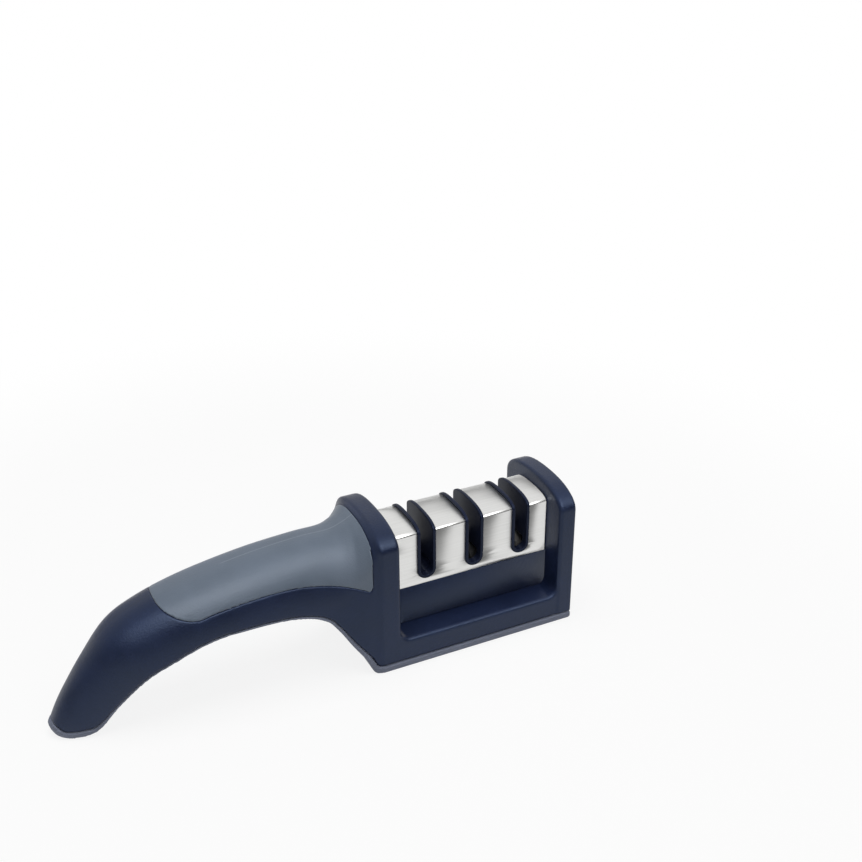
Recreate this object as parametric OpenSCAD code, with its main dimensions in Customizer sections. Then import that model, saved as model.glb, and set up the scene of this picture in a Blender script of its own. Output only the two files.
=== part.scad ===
// Pull-through knife sharpener: an arched handle and a head with three slots.
// Millimetres. X runs from the handle's tip to the far end, Y across, Z up from the table.

/* [Overall] */
// Length from the handle's tip to the far end
total_l = 204; // [194:1:224]
// Length of the head, with both end plates
head_l = 83; // [83:0.5:90]
// Width of the housing at the head
body_w = 42.6; // [41:0.2:48]
// Height of the plate beside the handle, above the table
near_plate_h = 60; // [58:0.5:66]
// Height of the far end plate, above the table
far_plate_h = 58.5; // [57.5:0.5:66]

/* [Housing] */
// Thickness of the plate beside the handle
near_plate_t = 8; // [6.5:0.1:8.2]
// Thickness of the far end plate
far_plate_t = 7; // [6:0.1:7.2]
// Rise of the near plate's rounded top above its straight sides
near_crown_h = 8; // [6:0.1:10]
// Rise of the far plate's rounded top above its straight sides
far_crown_h = 8.5; // [6:0.1:10]
// How far the far plate stands out past the ledge on each side
far_bulge = 0.3; // [0:0.1:0.5]
// Height of the ledge beside the slotted block
ledge_h = 12.5; // [11.5:0.1:13]
// Fall of the ledge from its root to its lip
ledge_fall = 0.5; // [0:0.1:1]
// Radius of the window's lower corners
window_r = 4; // [2:0.1:6]
// Radius that eases the plates' edges and the ledge's lip
edge_r = 0.9; // [0.4:0.1:1.4]
// Radius of the outer edge at the far end
end_edge_r = 0.5; // [0.3:0.1:1.4]
// Wall of the moulded housing
wall_t = 2; // [1.6:0.1:2.4]

/* [Bottom cover and pads] */
// Thickness of the bottom cover, and of its edge round the head and the tip
cover_t = 2.4; // [2.2:0.1:2.8]
// How far the cover stands out past the housing on each side
cover_lip = 0.7; // [0.3:0.1:1.2]
// Depth of the recess that each pad sits in
pad_seat = 0.7; // [0.4:0.1:0.9]
// How far the pads stand below the cover
pad_proud = 0.5; // [0.3:0.1:1]
// Margin between the large pad and the edge of the cover
pad_margin = 4.5; // [3.5:0.1:6]
// Length of the small pad under the handle's tip
tip_pad_l = 5.6; // [4:0.1:6]
// Width of the small pad under the handle's tip
tip_pad_w = 9; // [6:0.1:10]

/* [Grip] */
// Thickness of the soft inlay on top of the handle
grip_t = 2.5; // [1.8:0.1:3]

/* [Slotted block] */
// Width over the bent steel cover
steel_w = 23; // [22.4:0.1:24]
// Thickness of the steel cover
steel_t = 0.6; // [0.4:0.1:0.8]
// Height of the steel cover's lower edge, above the table
steel_foot_h = 28.3; // [27:0.1:28.6]
// Height at which the steel cover starts to bend inward
steel_shoulder_h = 50.5; // [49:0.1:52]
// Rise of the steel cover's top above its shoulder
steel_crown_h = 2.7; // [2:0.1:4]
// Width of each slot in the steel cover
slot_w = 7.8; // [7.4:0.1:8.4]
// Distance between neighbouring slots
slot_pitch = 20.4; // [19.8:0.1:20.8]
// Steel between the handle side and the first slot
first_land = 11.4; // [11:0.1:12.2]
// Steel left below each slot
slot_web = 2.1; // [1.8:0.1:2.6]
// Thickness of the black rim that lines each slot
rim_t = 1.35; // [1:0.05:1.5]
// How far the rims stand out of the steel's top
rim_proud = 0.9; // [0.4:0.1:1.2]
// How far the rims stand out of the steel's sides
rim_side_proud = 0.35; // [0.2:0.05:0.8]

/* [Wheels] */
// Diameter of the sharpening wheels
wheel_d = 13.6; // [12.8:0.1:14.2]
// Width of one wheel
wheel_w = 4.65; // [4:0.05:4.7]
// Depth of the groove that a pair of wheels forms
groove_depth = 2.4; // [1.8:0.1:3]
// Angle of each side of the groove from upright
groove_angle = 24; // [18:0.5:26]
// How far the wheels' axle lies below the slots' rounded bottom
axle_drop = 2.6; // [2.2:0.1:3]
// Diameter of the axles
axle_d = 3; // [2.4:0.1:3.4]

/* [Carbide blades] */
// Width of a carbide blade
blade_w = 3.2; // [2.6:0.1:3.6]
// Length of a carbide blade
blade_l = 13; // [11:0.1:13.4]
// Thickness of a carbide blade
blade_t = 1.6; // [1.2:0.1:2]
// Angle of each blade's edge from upright
blade_angle = 24; // [18:0.5:26]

/* [Fits] */
// Gap between pieces that are assembled with play
play = 0.1; // [0.05:0.01:0.12]
// Radial gap between a wheel and its axle
running_gap = 0.05; // [0.02:0.01:0.1]

/* [Hidden] */
$fn = 48;

// Places along the object
tip_x = -total_l / 2;
end_x = total_l / 2;
handle_l = total_l - head_l;
head_x = end_x - head_l;
window_x0 = head_x + near_plate_t;
window_x1 = end_x - far_plate_t;
slot_places = [for (i = [0:2]) window_x0 + first_land + slot_w / 2 + i * slot_pitch];

// Heights and half widths
body_z0 = pad_proud + cover_t;
half_w = body_w / 2;
overrun = 3;
ledge_t = 2.2;
steel_half = steel_w / 2;
wall_half = steel_half;
inner_wall_t = 1.6;
inner_half = wall_half - inner_wall_t;

// Handle and near plate, as sections from the tip to the plate. Each row gives the
// section's lower point and upper point (along the handle, height), its half width,
// how much of its height is rounded, and how much of the cover's thickness its edge has.
handle_shares = [
    [0.01, 0.03, 0.002, 0.06, 0.06, 0.95, 1.00],
    [0.02, 0.01, 0.00, 0.07, 0.16, 0.95, 1.00],
    [0.05, 0.00, 0.01, 0.10, 0.28, 0.95, 1.00],
    [0.10, 0.01, 0.03, 0.18, 0.38, 0.95, 0.90],
    [0.14, 0.05, 0.06, 0.28, 0.44, 0.95, 0.55],
    [0.20, 0.19, 0.12, 0.45, 0.53, 0.95, 0.30],
    [0.28, 0.34, 0.20, 0.64, 0.64, 0.95, 0.25],
    [0.36, 0.42, 0.29, 0.74, 0.69, 0.95, 0.25],
    [0.48, 0.51, 0.43, 0.82, 0.74, 0.95, 0.30],
    [0.62, 0.53, 0.63, 0.89, 0.76, 0.95, 0.30],
    [0.75, 0.51, 0.80, 0.92, 0.77, 0.95, 0.35],
    [0.83, 0.45, 0.90, 0.92, 0.79, 0.80, 0.45],
    [0.87, 0.36, 0.95, 0.95, 0.82, 0.60, 0.50],
    [0.91, 0.23, 0.97, 0.97, 0.87, 0.40, 0.60],
    [0.95, 0.11, 0.99, 0.99, 0.93, 0.25, 0.80]
];
neck_foot_share = 0.957;
// Share of the cover's thickness above which its edge stands out past the housing
lip_start = 0.3;
// Lower outline of the grip inlay in side view, from the plate to the tip end
grip_shares = [
    [0.985, 1.100], [0.985, 0.900], [0.980, 0.750], [0.980, 0.650], [0.970, 0.610],
    [0.950, 0.625], [0.880, 0.670], [0.780, 0.710], [0.690, 0.720], [0.600, 0.710],
    [0.500, 0.685], [0.450, 0.665], [0.410, 0.680], [0.370, 0.720], [0.345, 0.770],
    [0.340, 0.850], [0.340, 1.100]
];
// Exponents that shape the rounded tops
side_power = 2.4;
top_power = 2.05;
steel_side_power = 2.66;
steel_top_power = 2.02;
crown_steps = 10;
loft_steps = 2;
// Rows of the handle where the parting line, the inlay's bed and the hollow start, and where
// the hollow ends
line_first_row = 1.5;
bed_first_row = 3;
hollow_first_row = 5;
hollow_last_row = 13;

// Slots and what lies under them
rim_outer_w = slot_w - play;
opening_w = slot_w - 2 * rim_t;
block_end_gap = 0.2;
block_x0 = window_x0 + block_end_gap;
block_x1 = window_x1 - block_end_gap;
block_half = steel_half - steel_t - play;
block_foot_half = inner_half - play;
slot_floor_h = steel_foot_h + slot_web;
axle_h = slot_floor_h - axle_drop;
cradle_floor_t = 1.4;
wheel_clear = 1.2;
wheel_r = wheel_d / 2;
block_z0 = axle_h - wheel_r - wheel_clear - cradle_floor_t;
plate_t = 2;
plate_z0 = block_z0 - plate_t;
web_t = 2;
web_z0 = plate_z0 - web_t;
pocket_half_l = 6.6;
pocket_half_w = 8.6;
pocket_head = 1;
pocket_z1 = axle_h + wheel_r + pocket_head;
cradle_half_l = pocket_half_l - play;
cradle_half_w = pocket_half_w - play;
cheek_t = 1.5;
cheek_top = 3.4;
wheel_gap = 0.15;
wheel_chamfer = 0.5;
vee_z = axle_h + wheel_r - groove_depth;

// Carbide blades and their grub screws
blade_gap = 0.1;
blade_reach = 3.6;
grub_d = 2.5;
grub_drop = 7.2;
hex_d = 1.3;
hex_depth = 1.2;

// Screws: shank diameter, head diameter, head height
cover_screw_d = 2.9;
cover_head_d = 5.4;
cover_head_h = 1.4;
cover_screw_l = 8;
boss_d = 6.4;
boss_inset = 2.6;
handle_screw_share = 0.623;
tip_pad_share = 0.086;
tip_pad_r = 1.5;
module_screw_d = 2.6;
module_head_d = 5;
module_head_h = 1.6;
module_screw_l = 12;
plate_screw_d = 2.1;
plate_head_d = 3.9;
plate_head_h = 1.1;
plate_screw_l = 8;
recess_w = 0.7;
recess_depth = 0.8;
recess_arm = 0.55;

// Smooth curve through rows of numbers
function between(rows, i, t) = let (
    last = len(rows) - 1,
    a = rows[max(i - 1, 0)],
    b = rows[i],
    c = rows[min(i + 1, last)],
    d = rows[min(i + 2, last)]
) (2 * b + (c - a) * t + (2 * a - 5 * b + 4 * c - d) * t * t + (3 * b - a - 3 * c + d) * t * t * t) / 2;
function smooth(rows, steps) = [
    for (i = [0:len(rows) - 2], j = [0:steps - 1]) between(rows, i, j / steps),
    rows[len(rows) - 1]
];

// Rounded top from one side to the middle: u runs from 0 at the side to 1 at the top
function round_y(u, power) = pow(cos(90 * u), 2 / power);
function round_z(u, power) = pow(sin(90 * u), 2 / power);

// Outline of a plate or sheet with a rounded top, as (y, z) points
function crowned(half, z0, shoulder, top, side_p, top_p) = concat(
    [[half, z0]],
    [for (i = [0:crown_steps]) let (u = i / crown_steps)
        [half * round_y(u, side_p), shoulder + (top - shoulder) * round_z(u, top_p)]],
    [for (i = [1:crown_steps]) let (u = 1 - i / crown_steps)
        [-half * round_y(u, side_p), shoulder + (top - shoulder) * round_z(u, top_p)]],
    [[-half, z0]]
);

// A section: lower point, upper point, half width, rounded share, thickness of the cover's edge
function handle_place(row) = [
    tip_x + row[0] * handle_l,
    pad_proud + row[1] * (near_plate_h - pad_proud),
    tip_x + row[2] * handle_l,
    pad_proud + row[3] * (near_plate_h - pad_proud),
    row[4] * half_w,
    row[5],
    row[6] * cover_t
];
plate_share = near_crown_h / (near_plate_h - pad_proud);
ease_l = 3;
foot_ease = 0.5;
handle_rows = smooth(concat(
    [for (row = handle_shares) handle_place(row)],
    [[head_x - ease_l, pad_proud + foot_ease, head_x, near_plate_h - foot_ease,
      neck_foot_share * half_w, plate_share, cover_t],
     [head_x + foot_ease, pad_proud, head_x + edge_r, near_plate_h, half_w, plate_share, cover_t]]
), loft_steps);
function section(row, inset = 0, lip = 0, drop = 0) = let (
    dx = row[2] - row[0],
    dz = row[3] - row[1],
    len_s = norm([dx, dz]),
    high = (len_s - inset) / len_s,
    low = -drop / len_s,
    half = row[4] - inset + lip * max(0, (row[6] / cover_t - lip_start) / (1 - lip_start)),
    crown = row[5]
) [for (p = crowned(1, 0, 1 - crown, 1, side_power, top_power)) let (s = low + (high - low) * p[1])
    [row[0] + dx * s, half * p[0], row[1] + dz * s]];
function plate_section(x, half, z0, top, crown) =
    [for (p = crowned(half, z0, top - crown, top, side_power, top_power)) [x, p[0], p[1]]];

// Solid through sections that have equally many points
module loft(sections) {
    n = len(sections[0]);
    last = len(sections) - 1;
    points = [for (s = sections) each s];
    sides = [for (i = [0:last - 1], j = [0:n - 1]) let (
            a = i * n + j,
            b = i * n + (j + 1) % n,
            c = b + n,
            d = a + n
        ) each [[a, c, b], [a, d, c]]];
    ends = [[for (j = [0:n - 1]) j], [for (j = [n - 1:-1:0]) last * n + j]];
    polyhedron(points, concat(sides, ends));
}

// Extrusion of an (x, z) outline across the object
module across(width) {
    rotate([90, 0, 0]) linear_extrude(width, center = true) children();
}

// Extrusion of a (y, z) outline along the object
module along(x0, x1) {
    translate([x0, 0, 0]) rotate([90, 0, 90]) linear_extrude(x1 - x0) children();
}

module handle_form(lip = 0) {
    near = [
        for (x = [window_x0 - edge_r, window_x0]) let (ease = x == window_x0 ? edge_r : 0)
            section([x, pad_proud, x, near_plate_h - ease, half_w - ease, plate_share, cover_t], 0, lip)
    ];
    loft(concat([for (row = handle_rows) section(row, 0, lip)], near));
}

// Line a given thickness inward from the handle's underside, down to the head's cover. It
// starts a few sections behind the tip, where it no longer bends more tightly than it is thick.
handle_screw_x = tip_x + handle_screw_share * handle_l;
lower_line = [for (row = handle_rows) [row[0], row[1]]];
line_first = line_first_row * loft_steps;
function parting_line(thickness) = [for (i = [line_first:len(lower_line) - 2]) let (
        a = lower_line[max(i - 1, 0)],
        b = lower_line[i + 1],
        p = lower_line[i] + thickness[i] * [a[1] - b[1], b[0] - a[0]] / norm(b - a)
    ) if (p[0] < handle_screw_x || p[1] > body_z0) p];
edge_line = parting_line([for (row = handle_rows) row[6]]);
panel_line = parting_line([for (row = handle_rows) cover_t]);

// Everything below such a line, which rises at 45 degrees round the tip
module cover_zone(line) {
    across(body_w + 2 * overrun) polygon(concat(
        [[tip_x - overrun, line[0][1] + line[0][0] - tip_x + overrun]],
        line,
        [[head_cover_x0, body_z0], [window_x0 + overrun, body_z0],
         [window_x0 + overrun, -overrun], [tip_x - overrun, -overrun]]
    ));
}

// Everything above the grip's lower outline, outside the inlay's floor
bed_first = bed_first_row * loft_steps;
module grip_zone() {
    difference() {
        across(body_w) polygon([for (p = smooth(grip_shares, loft_steps))
            [tip_x + p[0] * handle_l, pad_proud + p[1] * (near_plate_h - pad_proud)]]);
        loft([for (i = [bed_first:len(handle_rows) - 1]) section(handle_rows[i], grip_t)]);
    }
}

// Hollow of the handle, open towards the cover, with a post for the cover's screw
hollow_first = hollow_first_row * loft_steps;
hollow_last = hollow_last_row * loft_steps;
module inner_form(gap) {
    loft([for (i = [hollow_first:hollow_last])
        section(handle_rows[i], grip_t + wall_t + gap, 0, overrun)]);
}
module handle_hollow() {
    difference() {
        inner_form(0);
        difference() {
            translate([handle_screw_x, 0, 0]) cylinder(d = boss_d, h = near_plate_h);
            cover_zone(panel_line);
        }
    }
}

// Raised wall and ledge of the head, as a (y, z) outline
module head_outline() {
    lip_z = ledge_h - ledge_fall;
    difference() {
        union() {
            polygon([[-half_w, body_z0], [half_w, body_z0], [half_w, lip_z - edge_r],
                [half_w - edge_r, lip_z], [wall_half, ledge_h], [-wall_half, ledge_h],
                [edge_r - half_w, lip_z], [-half_w, lip_z - edge_r]]);
            translate([-wall_half, body_z0]) square([2 * wall_half, steel_foot_h - body_z0]);
        }
        translate([-inner_half, body_z0 - overrun])
            square([2 * inner_half, web_z0 - body_z0 + overrun]);
        translate([-inner_half, plate_z0]) square([2 * inner_half, steel_foot_h]);
        translate([wall_t - half_w, body_z0 - overrun])
            square([body_w - 2 * wall_t, ledge_h - ledge_fall - ledge_t - body_z0 + overrun]);
    }
}

// Concave corner of radius r, as an (x, z) outline with its corner at the origin
module corner(r) {
    difference() {
        translate([-r, -r]) square(2 * r);
        translate([r, r]) circle(r);
        translate([r, -2 * r]) square(4 * r);
        translate([-2 * r, r]) square(4 * r);
    }
}

module far_plate() {
    loft([for (i = [0:3]) let (
            x = [window_x1, window_x1 + edge_r, end_x - end_edge_r, end_x][i],
            ease = [edge_r, 0, 0, end_edge_r][i]
        ) plate_section(x, half_w + far_bulge - ease, body_z0, far_plate_h - ease, far_crown_h)]);
}

handle_screw_z = max([for (p = lower_line) p[1]]);
boss_y = (half_w - wall_t + wall_half) / 2;
boss_places = [for (x = [window_x0 + boss_inset, window_x1 - boss_inset], y = [-boss_y, boss_y]) [x, y]];

module cover_screw_holes(d) {
    for (p = boss_places) translate([p[0], p[1], 0]) cylinder(d = d, h = pad_proud + pad_seat + cover_screw_l + play);
    translate([handle_screw_x, 0, handle_screw_z - overrun]) cylinder(d = d, h = cover_screw_l + overrun + play);
}

module body_shell() {
    core_half = half_w - 2 * wall_t;
    near_core = near_plate_t - 2 * wall_t;
    far_core = far_plate_t - 2 * wall_t;
    color([0.13, 0.15, 0.21]) difference() {
        union() {
            difference() {
                handle_form();
                cover_zone(edge_line);
                handle_hollow();
                grip_zone();
            }
            far_plate();
            along(window_x0 - overrun / 2, window_x1 + overrun / 2) head_outline();
            for (side = [-1, 1]) translate([0, side * (half_w - edge_r + wall_half) / 2, ledge_h - ledge_fall])
                across(half_w - wall_half - edge_r) {
                    translate([window_x0, 0]) corner(window_r);
                    translate([window_x1, 0]) mirror([1, 0]) corner(window_r);
                }
            for (p = boss_places) translate([p[0], p[1], body_z0])
                cylinder(d = boss_d, h = ledge_h - ledge_fall - body_z0 - edge_r);
        }
        translate([head_x + wall_t, -core_half, 0]) cube([near_core, 2 * core_half, near_plate_h - near_crown_h - wall_t]);
        translate([window_x1 + wall_t, -core_half, 0]) cube([far_core, 2 * core_half, far_plate_h - far_crown_h - wall_t]);
        cover_screw_holes(cover_screw_d);
        for (x = module_screw_places) translate([x, 0, 0]) cylinder(d = module_screw_d + 2 * play, h = plate_z0 + play);
    }
}

module handle_grip() {
    color([0.36, 0.41, 0.46]) intersection() {
        handle_form();
        grip_zone();
    }
}

// Rounded rectangle centred at the origin
module slab(l, w, r) {
    square([l - 2 * r, w], center = true);
    square([l, w - 2 * r], center = true);
    for (x = [r - l / 2, l / 2 - r], y = [r - w / 2, w / 2 - r]) translate([x, y]) circle(r);
}

cover_half = half_w + cover_lip;
head_cover_x0 = head_x - edge_r;
head_cover_l = end_x - head_cover_x0;
base_pad_l = head_cover_l - 2 * pad_margin;
base_pad_w = 2 * (cover_half - pad_margin);
base_pad_x = (head_cover_x0 + end_x) / 2;
tip_pad_x = tip_x + tip_pad_share * handle_l;
pad_r = 3;

module bottom_cover() {
    color([0.46, 0.47, 0.54]) difference() {
        union() {
            intersection() {
                handle_form(cover_lip);
                union() {
                    cover_zone(edge_line);
                    intersection() {
                        cover_zone(panel_line);
                        inner_form(play);
                    }
                }
            }
            translate([base_pad_x, 0, pad_proud]) linear_extrude(cover_t)
                slab(head_cover_l, 2 * cover_half, edge_r);
        }
        translate([base_pad_x, 0, -overrun]) linear_extrude(overrun + pad_proud + pad_seat)
            slab(base_pad_l + 2 * play, base_pad_w + 2 * play, pad_r + play);
        translate([tip_pad_x, 0, -overrun]) linear_extrude(overrun + pad_proud + pad_seat)
            slab(tip_pad_l + 2 * play, tip_pad_w + 2 * play, tip_pad_r + play);
        for (p = boss_places) translate([p[0], p[1], pad_proud + pad_seat]) sunk_hole();
        translate([handle_screw_x, 0, handle_screw_z]) {
            sunk_hole();
            translate([0, 0, -overrun]) cylinder(d = cover_head_d + 2 * play, h = overrun);
        }
    }
}

module base_pad() {
    color([0.2, 0.2, 0.22]) translate([base_pad_x, 0, 0])
        linear_extrude(pad_proud + pad_seat) slab(base_pad_l, base_pad_w, pad_r);
}

module tip_pad() {
    color([0.2, 0.2, 0.22]) translate([tip_pad_x, 0, 0])
        linear_extrude(pad_proud + pad_seat) slab(tip_pad_l, tip_pad_w, tip_pad_r);
}

// Flat-topped screw with a countersunk head, head down at z = 0
module sunk_screw(d, head_d, head_h, l) {
    difference() {
        union() {
            cylinder(d1 = head_d, d2 = d, h = head_h, $fn = 48);
            cylinder(d = d, h = l);
        }
        drive_recess();
    }
}

// Cheese-headed screw, its head below z = 0
module cheese_screw(d, head_d, head_h, l) {
    difference() {
        union() {
            translate([0, 0, -head_h]) cylinder(d = head_d, h = head_h);
            cylinder(d = d, h = l);
        }
        translate([0, 0, -head_h]) drive_recess();
    }
}

// Cross recess cut into the underside of a head
module drive_recess() {
    for (turn = [0, 90]) rotate(turn) translate([0, 0, recess_depth / 2 - play])
        cube([2 * recess_arm + recess_w, recess_w, recess_depth], center = true);
}

// Hole and countersink for a cover screw
module sunk_hole() {
    cylinder(d1 = cover_head_d + 2 * play, d2 = cover_screw_d + 2 * play, h = cover_head_h);
    cylinder(d = cover_screw_d + 2 * play, h = cover_t + overrun);
}

module cover_screws() {
    color("silver") {
        for (p = boss_places) translate([p[0], p[1], pad_proud + pad_seat])
            sunk_screw(cover_screw_d, cover_head_d, cover_head_h, cover_screw_l);
        translate([handle_screw_x, 0, handle_screw_z])
            sunk_screw(cover_screw_d, cover_head_d, cover_head_h, cover_screw_l);
    }
}

// Outline of one slot: straight sides, round bottom at floor_z, open at the top
module slot_outline(w, floor_z, top_z) {
    translate([0, floor_z + w / 2]) circle(d = w);
    translate([-w / 2, floor_z + w / 2]) square([w, top_z - floor_z - w / 2]);
}
steel_top = steel_shoulder_h + steel_crown_h;
open_top = steel_top + overrun;
cut_w = steel_w + 2 * overrun;

// Outline of the bent steel, or of what stands out of its sides and top
module steel_outline(side, top, foot) {
    polygon(crowned(steel_half + side, foot, steel_shoulder_h, steel_top + top,
        steel_side_power, steel_top_power));
}

module steel_cover() {
    color([0.78, 0.79, 0.8]) difference() {
        along(window_x0 + play, window_x1 - play) difference() {
            steel_outline(0, 0, steel_foot_h + play);
            steel_outline(-steel_t, -steel_t, steel_foot_h - overrun);
        }
        for (x = slot_places) translate([x, 0, 0]) across(cut_w) slot_outline(slot_w, slot_floor_h, open_top);
    }
}

module slot_block() {
    color([0.07, 0.07, 0.08]) difference() {
        union() {
            along(block_x0, block_x1) {
                intersection() {
                    steel_outline(-steel_t - play, -steel_t - play, steel_foot_h + play);
                    translate([-block_half, 0]) square([2 * block_half, open_top]);
                }
                translate([-block_foot_half, block_z0])
                    square([2 * block_foot_half, steel_foot_h + overrun - block_z0]);
            }
            for (x = slot_places) intersection() {
                translate([x, 0, 0]) across(cut_w)
                    slot_outline(rim_outer_w, slot_floor_h + play / 2, open_top);
                along(block_x0, block_x1) steel_outline(rim_side_proud, rim_proud, steel_foot_h + play);
            }
        }
        for (x = slot_places) {
            translate([x, 0, 0]) across(cut_w) slot_outline(opening_w, slot_floor_h + rim_t, open_top);
            translate([x - pocket_half_l, -pocket_half_w, block_z0 - overrun])
                cube([2 * pocket_half_l, 2 * pocket_half_w, pocket_z1 - block_z0 + overrun]);
        }
        for (x = module_screw_places) translate([x, 0, 0])
            cylinder(d = module_screw_d, h = web_z0 + module_screw_l + play);
        for (x = plate_screw_places) translate([x, 0, 0])
            cylinder(d = plate_screw_d, h = plate_z0 + plate_screw_l + play);
    }
}
module_screw_places = [for (i = [0:1]) (slot_places[i] + slot_places[i + 1]) / 2];
plate_screw_places = [
    (block_x0 + slot_places[0] - pocket_half_l) / 2,
    (block_x1 + slot_places[2] + pocket_half_l) / 2
];

module module_plate() {
    color([0.1, 0.1, 0.11]) difference() {
        translate([block_x0, -block_foot_half, plate_z0]) cube([block_x1 - block_x0, 2 * block_foot_half, plate_t]);
        for (x = module_screw_places) translate([x, 0, 0]) cylinder(d = module_screw_d + 2 * play, h = block_z0 + play);
        for (x = plate_screw_places) translate([x, 0, plate_z0]) {
            cylinder(d1 = plate_head_d + 2 * play, d2 = plate_screw_d + 2 * play, h = plate_head_h);
            cylinder(d = plate_screw_d + 2 * play, h = plate_t + play);
        }
    }
}

module module_screws() {
    color("silver") for (x = module_screw_places) translate([x, 0, web_z0])
        cheese_screw(module_screw_d, module_head_d, module_head_h, module_screw_l);
}

module plate_screws() {
    color("silver") for (x = plate_screw_places) translate([x, 0, plate_z0])
        sunk_screw(plate_screw_d, plate_head_d, plate_head_h, plate_screw_l);
}

// One blade as a bar whose upper inner edge lies on the groove's left side
module blade_bar(grow = 0) {
    translate([0, 0, vee_z]) rotate([0, -blade_angle, 0])
        translate([-blade_w - grow, -blade_t / 2 - grow, blade_reach - blade_l - grow])
            cube([blade_w + grow, blade_t + 2 * grow, blade_l + 2 * grow]);
}
blade_y = (blade_t + blade_gap) / 2;
module blade(side, grow = 0) {
    translate([slot_places[0], side * blade_y, 0]) mirror([side > 0 ? 1 : 0, 0, 0]) blade_bar(grow);
}

module carbide_blade_near() {
    color([0.55, 0.56, 0.58]) blade(-1);
}

module carbide_blade_far() {
    color([0.55, 0.56, 0.58]) blade(1);
}

grub_z = vee_z - grub_drop;
grub_l = cradle_half_w - blade_y - blade_t / 2;
module grub_place(side) {
    translate([slot_places[0], side * cradle_half_w, grub_z]) rotate([side * 90, 0, 0]) children();
}

module blade_screws() {
    color([0.2, 0.2, 0.21]) for (side = [-1, 1]) grub_place(side) difference() {
        cylinder(d = grub_d, h = grub_l);
        translate([0, 0, -play]) cylinder(d = hex_d, h = hex_depth, $fn = 6);
    }
}

module carbide_holder() {
    color([0.1, 0.1, 0.11]) difference() {
        translate([slot_places[0] - cradle_half_l, -cradle_half_w, block_z0])
            cube([2 * cradle_half_l, 2 * cradle_half_w, pocket_z1 - play - block_z0]);
        translate([slot_places[0], 0, 0]) across(cut_w) slot_outline(opening_w, slot_floor_h + rim_t, open_top);
        blade(-1, play);
        blade(1, play);
        for (side = [-1, 1]) grub_place(side) translate([0, 0, -overrun]) cylinder(d = grub_d, h = grub_l + overrun + play);
    }
}

// Cradle that drops into a pocket and carries an axle between two cheeks
module cradle(x) {
    cheek_z = axle_h + cheek_top;
    difference() {
        translate([x - cradle_half_l, -cradle_half_w, block_z0])
            cube([2 * cradle_half_l, 2 * cradle_half_w, cheek_z - block_z0]);
        translate([x + cheek_t - cradle_half_l, -cradle_half_w - overrun, block_z0 + cradle_floor_t])
            cube([2 * (cradle_half_l - cheek_t), 2 * (cradle_half_w + overrun), cheek_z]);
        translate([x - cradle_half_l - overrun, 0, axle_h]) rotate([0, 90, 0])
            cylinder(d = axle_d, h = 2 * (cradle_half_l + overrun));
    }
}

module axle(x) {
    translate([x - cradle_half_l, 0, axle_h]) rotate([0, 90, 0]) cylinder(d = axle_d, h = 2 * cradle_half_l);
}

// Wheel with a bevelled inner rim; side is -1 for the wheel nearer the handle
module wheel(x, side) {
    bevel = groove_depth * tan(groove_angle);
    bore_r = axle_d / 2 + running_gap;
    translate([x, 0, axle_h]) rotate([0, side * 90, 0]) translate([0, 0, wheel_gap]) rotate_extrude($fn = 72) polygon([
        [bore_r, 0], [wheel_r - groove_depth, 0], [wheel_r, bevel], [wheel_r, wheel_w - wheel_chamfer],
        [wheel_r - wheel_chamfer, wheel_w], [bore_r, wheel_w]
    ]);
}

module diamond_cradle() {
    color([0.1, 0.1, 0.11]) cradle(slot_places[1]);
}

module ceramic_cradle() {
    color([0.1, 0.1, 0.11]) cradle(slot_places[2]);
}

module diamond_axle() {
    color("silver") axle(slot_places[1]);
}

module ceramic_axle() {
    color("silver") axle(slot_places[2]);
}

module diamond_wheel_near() {
    color([0.5, 0.5, 0.48]) wheel(slot_places[1], -1);
}

module diamond_wheel_far() {
    color([0.5, 0.5, 0.48]) wheel(slot_places[1], 1);
}

module ceramic_wheel_near() {
    color([0.93, 0.92, 0.88]) wheel(slot_places[2], -1);
}

module ceramic_wheel_far() {
    color([0.93, 0.92, 0.88]) wheel(slot_places[2], 1);
}

body_shell();
handle_grip();
bottom_cover();
base_pad();
tip_pad();
steel_cover();
slot_block();
module_plate();
carbide_holder();
carbide_blade_near();
carbide_blade_far();
blade_screws();
diamond_cradle();
diamond_axle();
diamond_wheel_near();
diamond_wheel_far();
ceramic_cradle();
ceramic_axle();
ceramic_wheel_near();
ceramic_wheel_far();
plate_screws();
module_screws();
cover_screws();
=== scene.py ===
# %% [markdown]
# # A pull-through knife sharpener
# The real thing is an arched plastic handle that ends in a head with three slots. A brushed
# steel cover is bent over the slotted block, a soft inlay lies on the handle, and a thin grey
# cover closes everything from below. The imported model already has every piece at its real
# size, so this lesson only replaces the shapes that want softer edges and finer curves, and
# gives each surface its finish. Loading the model first means that every later number can be
# read from it and nothing has to be fitted afterwards.

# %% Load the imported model
import math

import bmesh
import bpy
import numpy as np
from mathutils import Matrix, Vector


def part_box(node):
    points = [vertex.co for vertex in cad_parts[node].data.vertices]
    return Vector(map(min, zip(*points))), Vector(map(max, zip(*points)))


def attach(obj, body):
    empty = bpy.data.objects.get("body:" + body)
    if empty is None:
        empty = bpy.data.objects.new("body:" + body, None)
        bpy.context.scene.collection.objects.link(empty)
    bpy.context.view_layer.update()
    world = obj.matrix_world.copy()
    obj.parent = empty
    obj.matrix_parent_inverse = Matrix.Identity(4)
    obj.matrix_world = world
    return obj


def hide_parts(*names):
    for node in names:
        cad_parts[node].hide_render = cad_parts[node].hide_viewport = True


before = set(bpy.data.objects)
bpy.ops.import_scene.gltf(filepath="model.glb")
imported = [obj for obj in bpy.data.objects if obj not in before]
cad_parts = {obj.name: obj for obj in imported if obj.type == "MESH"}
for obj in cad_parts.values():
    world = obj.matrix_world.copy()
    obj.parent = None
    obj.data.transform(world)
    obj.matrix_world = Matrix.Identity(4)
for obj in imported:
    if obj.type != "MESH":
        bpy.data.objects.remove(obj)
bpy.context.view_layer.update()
MM = 0.001

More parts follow.
